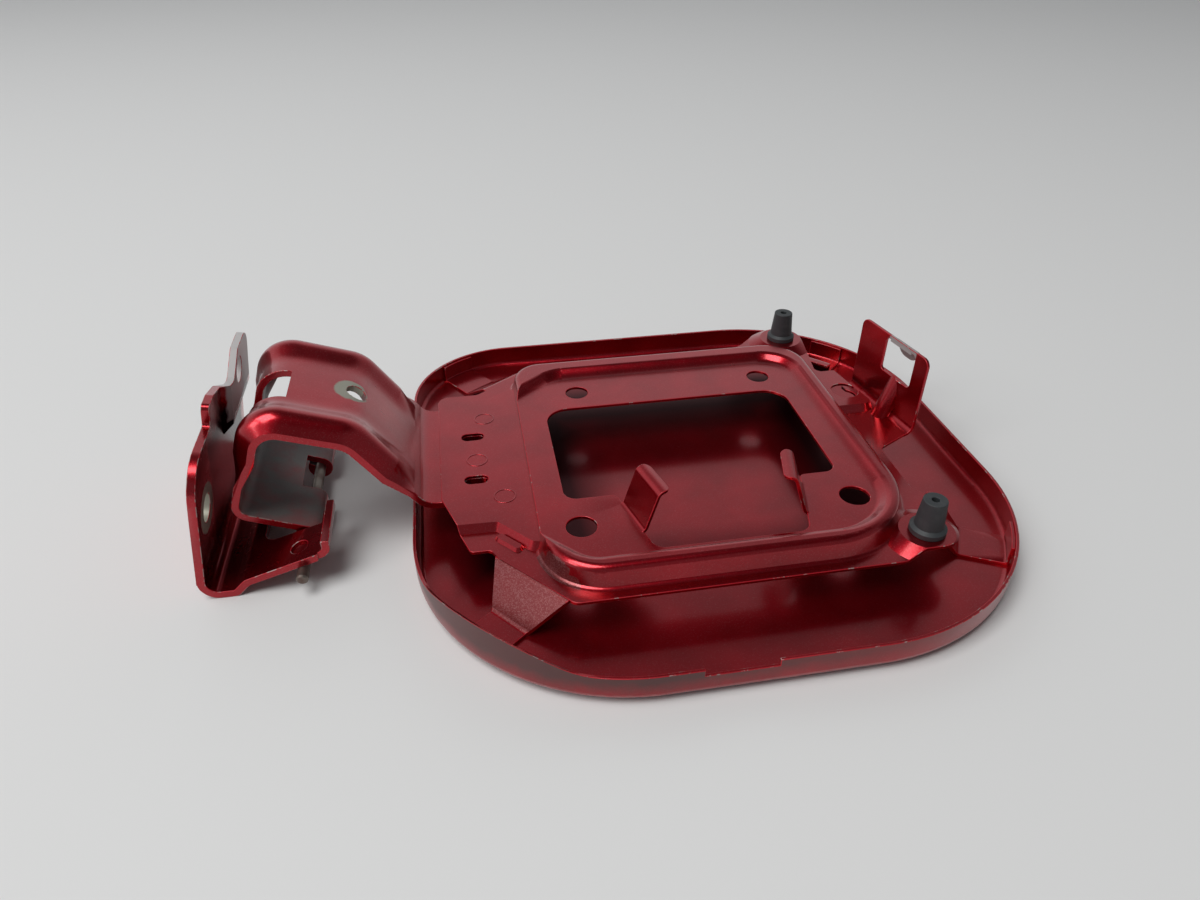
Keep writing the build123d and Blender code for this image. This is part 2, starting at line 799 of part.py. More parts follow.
lean = radians(base_lean)
base_x = pin_x - base_reach
web_turn = radians(web_slope)
base_touch = (pin_x - pin_diameter / 2 * sin(web_turn), pin_height + pin_diameter / 2 * cos(web_turn))


def web_height(x):
    return base_touch[1] + (x - base_touch[0]) * tan(web_turn)


web_foot_x = base_x + base_flat
web_rise_x = web_foot_x + base_rise
tab_x = pin_x + stop_tab_reach
web_path = [
    (base_x + base_plate_overlap * tan(lean), base_plate_overlap),
    (base_x, 0),
    (web_foot_x, 0),
    (web_rise_x, web_height(web_rise_x)),
    (tab_x, web_height(tab_x)),
    (tab_x, stop_tab_height),
]
plate_plane = Plane(origin=(base_x, 0, 0), x_dir=(0, -1, 0), z_dir=(-cos(lean), 0, sin(lean)))

# Corners of the upright plate: Y, height up the plate and rounding
base_outline = [
    (base_front, base_bend, 0.0),
    (base_front, 39.0, 9.0),
    (-7.0, 39.0, 1.0),
    (-7.0, 44.5, 1.5),
    (-1.5, 44.5, 1.5),
    (13.0, 40.5, 3.0),
    (20.0, 46.5, 3.0),
    (base_plate_rear, 46.5, 5.0),
    (base_plate_rear, base_bend, 0.0),
]


def base_plate_die(depth):
    shift = wall_shift(depth, joggle_angle)
    with BuildPart() as die:
        with BuildSketch(plate_plane.offset(-depth)):
            add(rounded_outline([(-y, u, r) for y, u, r in base_outline]))
        extrude(amount=-4 * joggle_depth)
        with BuildSketch(plate_plane.offset(-depth - joggle_depth)):
            with Locations((-joggle_y + shift, joggle_z - shift)):
                Rectangle(base_plate_rear, base_plate_rear, align=(Align.MAX, Align.MIN))
        extrude(amount=joggle_depth, taper=-joggle_angle, mode=Mode.SUBTRACT)
    return die.part


weld_plane = Plane(
    origin=(base_touch[0], plug_weld_y, base_touch[1]),
    z_dir=(-sin(web_turn), 0, cos(web_turn)),
)
window_front_y = arm_y - arm_width / 2 - web_side_gap
window_rear_y = arm_y + arm_width / 2 + web_side_gap
web_window = [
    (pin_x - web_window_reach, window_front_y, web_window_corner),
    (pin_x + leg_end_reach, window_front_y, 0.0),
    (pin_x + leg_end_reach, stop_tab_rear, 0.0),
    (pin_x + 2 * stop_tab_reach, stop_tab_rear, 0.0),
    (pin_x + 2 * stop_tab_reach, window_rear_y, 0.0),
    (pin_x - web_window_reach, window_rear_y, web_window_corner),
]

with BuildPart() as base_plate:
    add(base_plate_die(0))
    add(base_plate_die(base_sheet), mode=Mode.SUBTRACT)

with BuildPart() as hinge_base:
    with BuildSketch(Plane.XZ.offset(-base_front)):
        add(folded(web_path, [base_bend, web_bend, web_bend, stop_tab_bend], base_sheet, Side.LEFT))
    extrude(amount=base_front - base_rear)
    with BuildSketch():
        add(rounded_outline(web_window))
        with Locations((pin_x + leg_end_reach, base_rear)):
            Rectangle(base_reach, base_rear - window_rear_y, align=(Align.MIN, Align.MAX))
        with Locations((pin_x + leg_end_reach, base_front)):
            Rectangle(base_reach, stop_tab_front - base_front, align=(Align.MIN, Align.MIN))
    extrude(amount=2 * stop_tab_height, mode=Mode.SUBTRACT)
    with BuildSketch(plate_plane):
        with Locations((-base_plate_rear, base_bend)):
            Rectangle(base_rear - base_plate_rear, base_rear, align=(Align.MAX, Align.MIN))
    extrude(amount=-2 * base_sheet, mode=Mode.SUBTRACT)
    add(base_plate.part)
    with BuildSketch(plate_plane):
        with Locations((-bolt_front_y, bolt_front_z / cos(lean)), (-bolt_rear_y, bolt_rear_z / cos(lean))):
            Circle(bolt_hole / 2)
    extrude(amount=-4 * joggle_depth, mode=Mode.SUBTRACT)
    with BuildSketch(weld_plane.offset(base_sheet - plug_weld_depth)):
        Circle(plug_weld / 2)
    extrude(amount=base_sheet, mode=Mode.SUBTRACT)


# Row frame: the origin lies under the middle of the whole object's footprint

nodes = {
    "outer_panel": outer_panel.part,
    "inner_panel": inner_panel.part,
    "bumper_front": bumper_front,
    "bumper_rear": bumper_rear,
    "hinge_arm": hinge_arm.part,
    "hinge_base": hinge_base.part,
    "hinge_pin": hinge_pin.part,
}
footprint = (hinge_base.part.bounding_box().min.X + outer_panel.part.bounding_box().max.X) / 2

for name, node in nodes.items():
    placed = node.moved(Location((-footprint, 0, 0)))
    placed.label = name
    export_step(placed, f"parts/{name}.step")
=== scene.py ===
"""Dresses a car fuel door in lacquered red, primer, bare steel and rubber, on a pale studio floor."""

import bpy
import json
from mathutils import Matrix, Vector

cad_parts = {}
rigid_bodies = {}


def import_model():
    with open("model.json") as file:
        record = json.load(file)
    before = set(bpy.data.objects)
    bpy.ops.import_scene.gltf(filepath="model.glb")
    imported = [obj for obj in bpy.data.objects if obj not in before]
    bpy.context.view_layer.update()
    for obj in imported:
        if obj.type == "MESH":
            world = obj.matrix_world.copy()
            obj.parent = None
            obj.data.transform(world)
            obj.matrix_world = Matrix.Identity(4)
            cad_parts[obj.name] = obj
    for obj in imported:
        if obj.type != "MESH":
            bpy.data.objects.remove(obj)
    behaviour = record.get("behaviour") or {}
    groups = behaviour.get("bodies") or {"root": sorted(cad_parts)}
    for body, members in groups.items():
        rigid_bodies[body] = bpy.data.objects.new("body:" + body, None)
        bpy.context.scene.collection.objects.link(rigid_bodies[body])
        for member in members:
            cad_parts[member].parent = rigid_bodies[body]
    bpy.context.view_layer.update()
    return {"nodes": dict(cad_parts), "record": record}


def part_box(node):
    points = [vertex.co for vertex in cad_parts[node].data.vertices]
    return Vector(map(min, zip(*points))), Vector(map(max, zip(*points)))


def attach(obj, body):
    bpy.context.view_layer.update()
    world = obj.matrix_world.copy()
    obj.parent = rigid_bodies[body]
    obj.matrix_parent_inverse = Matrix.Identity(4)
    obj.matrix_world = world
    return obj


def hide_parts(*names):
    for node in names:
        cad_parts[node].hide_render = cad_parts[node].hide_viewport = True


bl_info = {
    "name": "Fuel Door",
    "version": (1, 0, 0),
    "blender": (4, 5, 0),
    "location": "3D View > Sidebar > Fuel Door",
    "description": "Dresses a hinged car fuel door in lacquered paint, primer, rubber and bare steel",
    "category": "Object",
}

import json
from collections import namedtuple
from math import radians

import bmesh
import bpy
from mathutils import Vector
from mathutils.kdtree import KDTree

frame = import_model()

MM = 0.001

# Meshes: merged points, joined flats, edges that count as cut, and the room that a rounding needs
MERGE_GAP = 2e-6
FLAT_ANGLE = radians(0.1)
CUT_ANGLE = radians(66)
CREASE_ANGLE = radians(42)
ROOM_SHARE = 2.2
END_SLACK = 0.001

# Material slots of a sheet: its faces, its cut edges, and the faces with a finish of their own
FACE_SLOT, EDGE_SLOT, PATCH_SLOT = 0, 1, 2

# Shading: corners looked at, how near and how alike a CAD corner is, and the walls with soft feet
CORNERS_NEAR = 24
SURFACE_GAP = 0.5 * MM
LEVEL_GAP = 1e-6
SAME_SIDE = 0.94
FOOT_GAP = 0.05 * MM
WALL_LEAST_UP, WALL_MOST_UP = 0.70, 0.83
PANEL_FEET = (11.2 * MM, 14.2 * MM)

# Grain of the finishes, and the share of overspray that is left far from the gun
RAGGED_GRAIN = 2.2 * MM
OVERSPRAY_GRAIN = 3 * MM
OVERSPRAY_FAR_SHARE = 0.35
CLOUD_SIZE = 14 * MM
HAZE_GRAIN = 4 * MM
CHIP_SIZE = 2.5 * MM
CHIP_TONE_SIZE = 7 * MM
PRIMER_CLOUD_SIZE = 9 * MM
PRIMER_GRAIN = 0.6 * MM
STAIN_SIZE = 3 * MM
BLOOM_SIZE = 2.5 * MM
PEBBLE_SIZE = 0.35 * MM

# A layer in the paint: maker of its mask, tint, metal share and roughness
Layer = namedtuple("Layer", "make_mask tint shine dull")

# Lamps: name, place, target, size in metres and power in watts
LAMPS = (
    ("ceiling", (-0.7, -0.35, 1.8), (0.0, 0.0, 0.0), 1.2, 26.5),
    ("window", (-1.2, -0.5, 0.95), (0.0, 0.0, 0.02), 0.5, 3.5),
)

# Light round the stage: how high the wall ends, its strength and the ceiling's, and its bright and dim sides
WALL_TOP, WALL_END = 0.60, 0.78
WALL_LEVEL, CEILING_LEVEL = 0.74, 0.11
BRIGHT_WAY = (-0.6, 0.8, 0.0)
DIM_SIDE, BRIGHT_SIDE = -0.35, 0.55
DIM_SHARE = 0.32


def linear(code):
    """Linear colour, with alpha, of an sRGB hex value."""
    shares = [int(code[start : start + 2], 16) / 255 for start in (1, 3, 5)]
    curve = [part / 12.92 if part <= 0.04045 else ((part + 0.055) / 1.055) ** 2.4 for part in shares]
    return curve + [1.0]


class PaintSettings(bpy.types.PropertyGroup):
    """Colours and grain of the finishes."""

    red: bpy.props.FloatVectorProperty(
        name="Red basecoat",
        description="Metallic red of the sprayed body colour",
        subtype="COLOR",
        size=4,
        min=0.0,
        max=1.0,
        default=linear("#B0031B"),
    )
    red_deep: bpy.props.FloatVectorProperty(
        name="Deep red",
        description="Red where the basecoat is thick and the flakes lie deep",
        subtype="COLOR",
        size=4,
        min=0.0,
        max=1.0,
        default=linear("#980014"),
    )
    flake: bpy.props.FloatVectorProperty(
        name="Flake",
        description="Glint of the aluminium flakes in the basecoat",
        subtype="COLOR",
        size=4,
        min=0.0,
        max=1.0,
        default=linear("#D98A8C"),
    )
    dust: bpy.props.FloatVectorProperty(
        name="Dust",
        description="Dry overspray and road dust on the paint",
        subtype="COLOR",
        size=4,
        min=0.0,
        max=1.0,
        default=linear("#463735"),
    )
    primer: bpy.props.FloatVectorProperty(
        name="Primer",
        description="Grey electrocoat primer where no colour reached",
        subtype="COLOR",
        size=4,
        min=0.0,
        max=1.0,
        default=linear("#8F8B8A"),
    )
    steel: bpy.props.FloatVectorProperty(
        name="Bare steel",
        description="Zinc-coated steel where the paint is worn off",
        subtype="COLOR",
        size=4,
        min=0.0,
        max=1.0,
        default=linear("#9C9A8C"),
    )
    rubber: bpy.props.FloatVectorProperty(
        name="Rubber",
        description="Charcoal of the moulded stops",
        subtype="COLOR",
        size=4,
        min=0.0,
        max=1.0,
        default=linear("#303335"),
    )
    flake_size: bpy.props.FloatProperty(
        name="Flake size",
        description="Size of one flake",
        unit="LENGTH",
        default=0.22 * MM,
        min=0.05 * MM,
    )
    peel_size: bpy.props.FloatProperty(
        name="Orange peel",
        description="Width of one ripple in the lacquer",
        unit="LENGTH",
        default=1.6 * MM,
        min=0.2 * MM,
    )


class DetailSettings(bpy.types.PropertyGroup):
    """Sizes of the small details."""

    edge_round: bpy.props.FloatProperty(
        name="Edge rounding",
        description="Width of the rounded edge of a sheet",
        unit="LENGTH",
        default=0.16 * MM,
        min=0.0,
    )
    weld_spot: bpy.props.FloatProperty(
        name="Weld spot",
        description="Width of the ring that a spot weld's tip leaves in the sheet",
        unit="LENGTH",
        default=5.6 * MM,
        min=1.0 * MM,
    )
    weld_ring: bpy.props.FloatProperty(
        name="Weld ring",
        description="Thickness of that ring",
        unit="LENGTH",
        default=0.45 * MM,
        min=0.05 * MM,
    )
    bolt_ring: bpy.props.FloatProperty(
        name="Bolt ring",
        description="Width of the bare ring that a bolt's flange rubs round the front hole",
        unit="LENGTH",
        default=13.2 * MM,
        min=7.2 * MM,
    )
    shoulder_ring: bpy.props.FloatProperty(
        name="Shoulder ring",
        description="Width of the bare ring round the hole in the arm's shoulder",
        unit="LENGTH",
        default=9.4 * MM,
        min=5.8 * MM,
    )


class StageSettings(bpy.types.PropertyGroup):
    """Floor and camera."""

    floor_size: bpy.props.FloatProperty(
        name="Floor size",
        description="Side of the square floor",
        unit="LENGTH",
        default=6.0,
        min=1.0,
    )
    floor_colour: bpy.props.FloatVectorProperty(
        name="Floor colour",
        description="Pale paint of the floor",
        subtype="COLOR",
        size=4,
        min=0.0,
        max=1.0,
        default=linear("#DCDCDB"),
    )
    camera_place: bpy.props.FloatVectorProperty(
        name="Camera place",
        description="Where the camera stands",
        subtype="TRANSLATION",
        default=(-0.035284, -0.191, 0.150),
    )
    camera_turn: bpy.props.FloatVectorProperty(
        name="Camera turn",
        description="How the camera is turned",
        subtype="EULER",
        default=(radians(55), 0.0, radians(-10)),
    )
    lens: bpy.props.FloatProperty(
        name="Lens",
        description="Focal length on a 36 mm wide sensor",
        unit="CAMERA",
        default=24.96,
    )


def add(tree, kind, inputs=None, **settings):
    """Add one node: settings by attribute, inputs by name or number, linked where a value is a socket."""
    made = tree.nodes.new(kind)
    for key, value in settings.items():
        setattr(made, key, value)
    for key, value in (inputs or {}).items():
        if isinstance(value, bpy.types.NodeSocket):
            tree.links.new(value, made.inputs[key])
        else:
            made.inputs[key].default_value = value
    return made


def blank_material(name):
    """A material with an empty node tree and its output, and the tree and output to build on."""
    material = bpy.data.materials.new(name)
    material.use_nodes = True
    tree = material.node_tree
    tree.nodes.clear()
    return material, tree, add(tree, "ShaderNodeOutputMaterial")


def ragged(tree, place, gap, reach, soft):
    """Socket that is 1 where a distance is under a reach and 0 past it, with an edge that wanders."""
    grain = {"Vector": place, "Scale": 1 / RAGGED_GRAIN, "Detail": 3.0}
    wander = add(tree, "ShaderNodeTexNoise", grain).outputs[0]
    shift = {0: wander, 1: 2 * soft, 2: gap}
    moved = add(tree, "ShaderNodeMath", shift, operation="MULTIPLY_ADD").outputs[0]
    ends = {"Value": moved, "From Min": reach + 1.4 * soft, "From Max": reach + 0.6 * soft}
    return add(tree, "ShaderNodeMapRange", ends).outputs[0]


def ball(centre, radius, soft):
    """Maker of the mask of a ragged ball round a point."""

    def mask(tree, place):
        gap = add(tree, "ShaderNodeVectorMath", {0: place, 1: centre}, operation="DISTANCE")
        return ragged(tree, place, gap.outputs["Value"], radius, soft)

    return mask


def block(centre, half, soft, even_edge=False):
    """Maker of the mask of a block round a point, with a ragged edge or an even, soft one."""

    def mask(tree, place):
        offset = add(tree, "ShaderNodeVectorMath", {0: place, 1: centre}, operation="SUBTRACT").outputs[0]
        size = add(tree, "ShaderNodeVectorMath", {0: offset}, operation="ABSOLUTE").outputs[0]
        over = add(tree, "ShaderNodeVectorMath", {0: size, 1: half}, operation="SUBTRACT").outputs[0]
        sides = add(tree, "ShaderNodeSeparateXYZ", {0: over}).outputs
        widest = add(tree, "ShaderNodeMath", {0: sides[0], 1: sides[1]}, operation="MAXIMUM").outputs[0]
        gap = add(tree, "ShaderNodeMath", {0: widest, 1: sides[2]}, operation="MAXIMUM").outputs[0]
        if even_edge:
            ends = {"Value": gap, "From Min": soft, "From Max": -soft}
            return add(tree, "ShaderNodeMapRange", ends).outputs[0]
        return ragged(tree, place, gap, 0.0, soft)

    return mask


def spared(outer, inner):
    """Maker of the mask of one place without another that lies in it."""

    def mask(tree, place):
        rest = add(tree, "ShaderNodeMath", {0: 1.0, 1: inner(tree, place)}, operation="SUBTRACT").outputs[0]
        return add(tree, "ShaderNodeMath", {0: outer(tree, place), 1: rest}, operation="MULTIPLY").outputs[0]

    return mask


def drift(low, high, near_x, far_x, share):
    """Maker of the mask of overspray that thickens with height and thins out along X."""

    def mask(tree, place):
        sides = add(tree, "ShaderNodeSeparateXYZ", {0: place}).outputs
        grain = {"Vector": place, "Scale": 1 / OVERSPRAY_GRAIN, "Detail": 5.0}
        cloud = add(tree, "ShaderNodeTexNoise", grain).outputs[0]
        lifted = {0: cloud, 1: OVERSPRAY_GRAIN, 2: sides[2]}
        height = add(tree, "ShaderNodeMath", lifted, operation="MULTIPLY_ADD").outputs[0]
        rise_ends = {"Value": height, "From Min": low, "From Max": high, "To Max": share}
        rise = add(tree, "ShaderNodeMapRange", rise_ends).outputs[0]
        run_ends = {"Value": sides[0], "From Min": far_x, "From Max": near_x, "To Min": OVERSPRAY_FAR_SHARE}
        run = add(tree, "ShaderNodeMapRange", run_ends).outputs[0]
        return add(tree, "ShaderNodeMath", {0: rise, 1: run}, operation="MULTIPLY").outputs[0]

    return mask


# Metallic basecoat under clear lacquer, sprayed on pressed steel. The basecoat drifts between bright and
# deep red in soft clouds, its flakes glint as fine grain, and the lacquer lays a soft pale sheen with a
# faint orange peel over it. Real flakes are about 0.05 mm: they are drawn coarser so that they show.
# Layers put bare metal, primer, dust, painted shade (a dark red) or primer made paler as painted light in
# place of the full coat, with little lacquer.
def lacquered_red(name, haze=0.29, sparkle=0.10, grain=0.80, layers=()):
    paint = bpy.context.scene.fuel_door_paint
    material, tree, output = blank_material(name)
    place = add(tree, "ShaderNodeTexCoord").outputs["Object"]
    cells = add(tree, "ShaderNodeTexVoronoi", {"Vector": place, "Scale": 1 / paint.flake_size})
    cell_value = add(tree, "ShaderNodeSeparateColor", {0: cells.outputs["Color"]}).outputs[0]
    glint_ends = {"Value": cell_value, "From Min": grain, "From Max": 1.0, "To Max": sparkle}
    glint = add(tree, "ShaderNodeMapRange", glint_ends).outputs[0]
    cloud_grain = {"Vector": place, "Scale": 1 / CLOUD_SIZE, "Detail": 4.0}
    cloud = add(tree, "ShaderNodeTexNoise", cloud_grain).outputs[0]
    cloud_ends = {"Value": cloud, "From Min": 0.3, "From Max": 0.7}
    cloud_share = add(tree, "ShaderNodeMapRange", cloud_ends).outputs[0]
    tones = {"Factor": cloud_share, "A": list(paint.red_deep), "B": list(paint.red)}
    body = add(tree, "ShaderNodeMix", tones, data_type="RGBA").outputs["Result"]
    glints = {"Factor": glint, "A": body, "B": list(paint.flake)}
    colour = add(tree, "ShaderNodeMix", glints, data_type="RGBA").outputs["Result"]
    haze_grain = {"Vector": place, "Scale": 1 / HAZE_GRAIN, "Detail": 6.0, "Roughness": 0.65}
    wiped = add(tree, "ShaderNodeTexNoise", haze_grain).outputs[0]
    haze_ends = {
        "Value": wiped,
        "From Min": 0.3,
        "From Max": 0.75,
        "To Min": haze - 0.02,
        "To Max": haze + 0.03,
    }
    rough = add(tree, "ShaderNodeMapRange", haze_ends).outputs[0]
    lacquer, metal, little_lacquer = 0.8, 0.94, 0.1
    for make_mask, tint, shine, dull in layers:
        mask = make_mask(tree, place)
        tinted = {"Factor": mask, "A": colour, "B": list(tint)}
        colour = add(tree, "ShaderNodeMix", tinted, data_type="RGBA").outputs["Result"]
        rough = add(tree, "ShaderNodeMix", {"Factor": mask, "A": rough, "B": dull}).outputs["Result"]
        thinned = {"Factor": mask, "A": lacquer, "B": little_lacquer}
        lacquer = add(tree, "ShaderNodeMix", thinned).outputs["Result"]
        metal = add(tree, "ShaderNodeMix", {"Factor": mask, "A": metal, "B": shine}).outputs["Result"]
    peel_grain = {"Vector": place, "Scale": 1 / paint.peel_size, "Detail": 1.0}
    peel = add(tree, "ShaderNodeTexNoise", peel_grain).outputs[0]
    peel_lift = {"Strength": 0.08, "Distance": 0.05 * MM, "Height": peel}
    ripple = add(tree, "ShaderNodeBump", peel_lift).outputs[0]
    shader = add(
        tree,
        "ShaderNodeBsdfPrincipled",
        {
            "Base Color": colour,
            "Metallic": metal,
            "Roughness": rough,
            "Normal": ripple,
            "Coat Weight": lacquer,
            "Coat Roughness": 0.16,
            "Coat IOR": 1.5,
            "Coat Normal": ripple,
        },
    )
    tree.links.new(shader.outputs[0], output.inputs[0])
    return material


# Sheet edge where the colour is thin: red film chipped through to pale primer and grey metal in short runs.
def chipped_edge(name, share=0.5):
    paint = bpy.context.scene.fuel_door_paint
    material, tree, output = blank_material(name)
    place = add(tree, "ShaderNodeTexCoord").outputs["Object"]
    chip_grain = {"Vector": place, "Scale": 1 / CHIP_SIZE, "Detail": 5.0, "Roughness": 0.7}
    chips = add(tree, "ShaderNodeTexNoise", chip_grain).outputs[0]
    chip_ends = {"Value": chips, "From Min": 0.62 - 0.25 * share, "From Max": 0.68 - 0.25 * share}
    bare = add(tree, "ShaderNodeMapRange", chip_ends).outputs[0]
    tone_grain = {"Vector": place, "Scale": 1 / CHIP_TONE_SIZE, "Detail": 2.0}
    tone = add(tree, "ShaderNodeTexNoise", tone_grain).outputs[0]
    tones = {"Factor": tone, "A": linear("#B9A6A2"), "B": linear("#8E7A76")}
    metal = add(tree, "ShaderNodeMix", tones, data_type="RGBA").outputs["Result"]
    worn = {"Factor": bare, "A": list(paint.red), "B": metal}
    colour = add(tree, "ShaderNodeMix", worn, data_type="RGBA").outputs["Result"]
    shader = add(
        tree,
        "ShaderNodeBsdfPrincipled",
        {
            "Base Color": colour,
            "Metallic": 0.3,
            "Roughness": 0.42,
            "Coat Weight": 0.3,
            "Coat Roughness": 0.2,
        },
    )
    tree.links.new(shader.outputs[0], output.inputs[0])
    return material


# Electrocoat primer, dipped: an even dull grey film with a faint drift of red overspray. Its grey is darker
# than the primer elsewhere, as painted shade for the inside of the hook.
def primer_with_painted_shade(name, red_drift=0.35):
    paint = bpy.context.scene.fuel_door_paint
    material, tree, output = blank_material(name)
    place = add(tree, "ShaderNodeTexCoord").outputs["Object"]
    cloud_grain = {"Vector": place, "Scale": 1 / PRIMER_CLOUD_SIZE, "Detail": 3.0}
    cloud = add(tree, "ShaderNodeTexNoise", cloud_grain).outputs[0]
    cloud_ends = {"Value": cloud, "From Min": 0.4, "From Max": 0.75, "To Max": red_drift}
    share = add(tree, "ShaderNodeMapRange", cloud_ends).outputs[0]
    # Darker grey than the primer elsewhere: painted shade
    tones = {"Factor": share, "A": linear("#6A6462"), "B": list(paint.red_deep)}
    tinted = add(tree, "ShaderNodeMix", tones, data_type="RGBA").outputs["Result"]
    film_grain = {"Vector": place, "Scale": 1 / PRIMER_GRAIN, "Detail": 2.0}
    film = add(tree, "ShaderNodeTexNoise", film_grain).outputs[0]
    film_ends = {"Value": film, "From Min": 0.3, "From Max": 0.7, "To Min": 0.42, "To Max": 0.6}
    rough = add(tree, "ShaderNodeMapRange", film_ends).outputs[0]
    film_lift = {"Strength": 0.15, "Distance": 0.03 * MM, "Height": film}
    bump = add(tree, "ShaderNodeBump", film_lift).outputs[0]
    shader = add(
        tree,
        "ShaderNodeBsdfPrincipled",
        {"Base Color": tinted, "Roughness": rough, "Normal": bump, "Specular IOR Level": 0.4},
    )
    tree.links.new(shader.outputs[0], output.inputs[0])
    return material


# Drawn steel pin: dull grey metal with a red-brown film in patches, which are rougher than the metal.
def bare_steel(name):
    material, tree, output = blank_material(name)
    place = add(tree, "ShaderNodeTexCoord").outputs["Object"]
    stain_grain = {"Vector": place, "Scale": 1 / STAIN_SIZE, "Detail": 5.0}
    stain = add(tree, "ShaderNodeTexNoise", stain_grain).outputs[0]
    stain_ends = {"Value": stain, "From Min": 0.45, "From Max": 0.8, "To Max": 0.7}
    share = add(tree, "ShaderNodeMapRange", stain_ends).outputs[0]
    tones = {"Factor": share, "A": linear("#7C746C"), "B": linear("#5C2C2A")}
    colour = add(tree, "ShaderNodeMix", tones, data_type="RGBA").outputs["Result"]
    rough_ends = {"Value": stain, "From Min": 0.3, "From Max": 0.75, "To Min": 0.32, "To Max": 0.58}
    rough = add(tree, "ShaderNodeMapRange", rough_ends).outputs[0]
    look = {"Base Color": colour, "Metallic": 0.9, "Roughness": rough}
    shader = add(tree, "ShaderNodeBsdfPrincipled", look)
    tree.links.new(shader.outputs[0], output.inputs[0])
    return material


# Moulded rubber: near black and matt, with a fine pebble from the mould and a pale bloom on its skin.
def moulded_rubber(name):
    paint = bpy.context.scene.fuel_door_paint
    material, tree, output = blank_material(name)
    place = add(tree, "ShaderNodeTexCoord").outputs["Object"]
    bloom_grain = {"Vector": place, "Scale": 1 / BLOOM_SIZE, "Detail": 5.0, "Roughness": 0.6}
    bloom = add(tree, "ShaderNodeTexNoise", bloom_grain).outputs[0]
    bloom_ends = {"Value": bloom, "From Min": 0.5, "From Max": 0.8, "To Max": 0.25}
    share = add(tree, "ShaderNodeMapRange", bloom_ends).outputs[0]
    tones = {"Factor": share, "A": list(paint.rubber), "B": linear("#5A5B5A")}
    colour = add(tree, "ShaderNodeMix", tones, data_type="RGBA").outputs["Result"]
    pebble_grain = {"Vector": place, "Scale": 1 / PEBBLE_SIZE, "Detail": 2.0}
    pebble = add(tree, "ShaderNodeTexNoise", pebble_grain).outputs[0]
    pebble_lift = {"Strength": 0.2, "Distance": 0.04 * MM, "Height": pebble}
    bump = add(tree, "ShaderNodeBump", pebble_lift).outputs[0]
    shader = add(
        tree,
        "ShaderNodeBsdfPrincipled",
        {"Base Color": colour, "Roughness": 0.55, "Normal": bump, "Specular IOR Level": 0.45},
    )
    tree.links.new(shader.outputs[0], output.inputs[0])
    return material


# Rolled-on white board paint: flat and pale. Seen from below it is clear, so that views from under the floor
# show the part.
def board_paint(name):
    stage = bpy.context.scene.fuel_door_stage
    material, tree, output = blank_material(name)
    look = {"Base Color": list(stage.floor_colour), "Roughness": 0.6, "Specular IOR Level": 0.25}
    shader = add(tree, "ShaderNodeBsdfPrincipled", look)
    behind = add(tree, "ShaderNodeNewGeometry").outputs["Backfacing"]
    clear = add(tree, "ShaderNodeBsdfTransparent")
    mixed = add(tree, "ShaderNodeMixShader", {0: behind, 1: shader.outputs[0], 2: clear.outputs[0]})
    tree.links.new(mixed.outputs[0], output.inputs[0])
    return material


def has_room(edge, width):
    """Whether the faces beside an edge are wide enough for a rounding of a width."""
    start, end = (vert.co for vert in edge.verts)
    along = end - start
    for face in edge.link_faces:
        for vert in set(face.verts).difference(edge.verts):
            share = (vert.co - start).dot(along) / along.length_squared
            beside = -END_SLACK < share < 1 + END_SLACK
            if beside and (vert.co - start - share * along).length < width:
                return False
    return True


def merged_sheet(node, edge_round, edge_slot=EDGE_SLOT):
    """A bmesh of a CAD node with its doubles merged, its flats joined and its cut edges rounded."""
    sheet = bmesh.new()
    sheet.from_mesh(frame["nodes"][node].data)
    bmesh.ops.remove_doubles(sheet, verts=sheet.verts, dist=MERGE_GAP)
    bmesh.ops.dissolve_limit(sheet, angle_limit=FLAT_ANGLE, verts=sheet.verts, edges=sheet.edges)
    for face in sheet.faces:
        face.material_index = FACE_SLOT
    outer = [edge for edge in sheet.edges if len(edge.link_faces) == 2 and edge.is_convex]
    cut = [edge for edge in outer if edge.calc_face_angle() > CUT_ANGLE]
    bmesh.ops.bevel(
        sheet,
        geom=[edge for edge in cut if has_room(edge, ROOM_SHARE * edge_round)],
        offset=edge_round,
        offset_type="OFFSET",
        segments=2,
        profile=0.5,
        affect="EDGES",
        clamp_overlap=False,
        material=edge_slot,
    )
    for face in sheet.faces:
        face.smooth = True
    return sheet


def follow_surface(mesh, node, feet):
    """Shade a mesh as the CAD surface it comes from, with soft hollows where sloped walls meet flats."""
    source = frame["nodes"][node].data
    corners = KDTree(len(source.loops))
    for loop in source.loops:
        corners.insert(source.vertices[loop.vertex_index].co, loop.index)
    corners.balance()
    surface = [corner.vector.copy() for corner in source.corner_normals]
    shaded = [corner.vector.copy() for corner in mesh.corner_normals]
    for face in mesh.polygons:
        for index in face.loop_indices:
            point = mesh.vertices[mesh.loops[index].vertex_index].co
            close = corners.find_n(point, CORNERS_NEAR)
            nearest = close[0][2]
            level = [surface[corner] for _, corner, gap in close if gap < nearest + LEVEL_GAP]
            best = max(level, key=face.normal.dot)
            sloped = WALL_LEAST_UP < face.normal.z < WALL_MOST_UP
            if sloped and any(abs(point.z - foot) < FOOT_GAP for foot in feet):
                shaded[index] = Vector((0.0, 0.0, 1.0))
            elif best.dot(face.normal) > SAME_SIDE and nearest < SURFACE_GAP:
                shaded[index] = best
    mesh.normals_split_custom_set([tuple(normal) for normal in shaded])


def finished_piece(name, sheet, finishes, body, nodes, feet=()):
    """An object from a bmesh, shaded as its CAD surface, that replaces CAD nodes and rides their body."""
    mesh = bpy.data.meshes.new(name)
    sheet.to_mesh(mesh)
    sheet.free()
    for finish in finishes:
        mesh.materials.append(finish)
    mesh.set_sharp_from_angle(angle=CREASE_ANGLE)
    follow_surface(mesh, nodes[0], feet)
    piece = bpy.data.objects.new(name, mesh)
    bpy.context.scene.collection.objects.link(piece)
    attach(piece, body)
    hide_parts(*nodes)
    return piece


